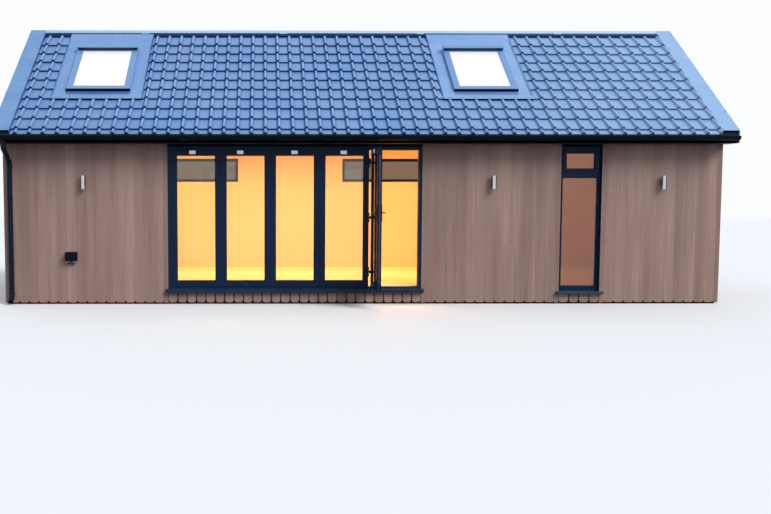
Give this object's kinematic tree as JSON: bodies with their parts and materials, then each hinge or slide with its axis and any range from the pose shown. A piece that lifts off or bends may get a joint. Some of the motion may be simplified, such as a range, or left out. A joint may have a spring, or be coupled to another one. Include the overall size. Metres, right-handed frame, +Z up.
{
  "type": "garden office building",
  "caption": "Timber garden room with board cladding, dual-pitch metal roof, roof windows, folding glass doors with a hinged access leaf, gutters and outside lights.",
  "frame": {"origin": "on the ground under the middle of the base frame", "axes": "+Z up, -Y towards the side with the doors, +X along the ridge to the right of someone facing the doors"},
  "size_m": [10.28, 4.6728, 4.1982],
  "materials": {
    "black_steel": "satin black coating",
    "floor_boards": "oiled boards",
    "wall_panel": "timber panel behind upright brown cladding boards",
    "painted_trim": "painted satin",
    "roof_sheet": "coated sheet, slate blue",
    "flashing": "coated sheet, pale blue-grey",
    "black_board": "black capping",
    "gutter": "black plastic",
    "window_metal": "anthracite powder coat",
    "roof_window_metal": "blue-grey lacquer",
    "glazing": "clear sealed units",
    "ironmongery": "black powder coat",
    "cladding_trim": "brown composite trim",
    "stainless": "brushed",
    "socket_plastic": "black moulded"
  },
  "bodies": {
    "building": {"base_frame": "black_steel", "floor_deck": "floor_boards", "front_wall_left": "wall_panel", "front_wall_middle": "wall_panel", "front_wall_right": "wall_panel", "front_wall_header": "wall_panel", "rear_wall": "wall_panel", "gable_wall_left": "wall_panel", "gable_wall_right": "wall_panel", "skirting_boards": "painted_trim", "roof_panel_front": "roof_sheet", "roof_panel_rear": "roof_sheet", "ridge_flashing": "flashing", "verge_flashing_left": "flashing", "verge_flashing_right": "flashing", "fascia_boards": "black_board", "soffit_boards": "black_board", "gutter_front": "gutter", "gutter_rear": "gutter", "downpipes": "gutter", "roof_window_frames": "roof_window_metal", "roof_window_sashes": "roof_window_metal", "roof_window_glass": "glazing", "roof_window_flashings": "roof_sheet", "door_frame": "window_metal", "door_cill": "window_metal", "door_leaf_1": "window_metal", "door_leaf_2": "window_metal", "door_leaf_3": "window_metal", "door_leaf_4": "window_metal", "door_glass": "glazing", "door_hinges": "ironmongery", "narrow_window_frame": "window_metal", "narrow_window_top_light": "window_metal", "narrow_window_glass": "glazing", "narrow_window_sill": "window_metal", "rear_window_frames": "window_metal", "rear_window_glass": "glazing", "cladding_trims": "cladding_trim", "wall_lights": "stainless", "socket_box": "socket_plastic"},
    "access_leaf": {"access_door": "window_metal", "access_door_glass": "glazing", "access_door_levers": "ironmongery", "access_door_knuckles": "ironmongery"}
  },
  "joints": [
    {"name": "access_leaf_swing", "type": "hinge", "parent": "building", "child": "access_leaf", "pos_m": [0.08, -1.807, 1], "axis": [0, 0, 1], "range_deg": [-80, 90]}
  ]
}
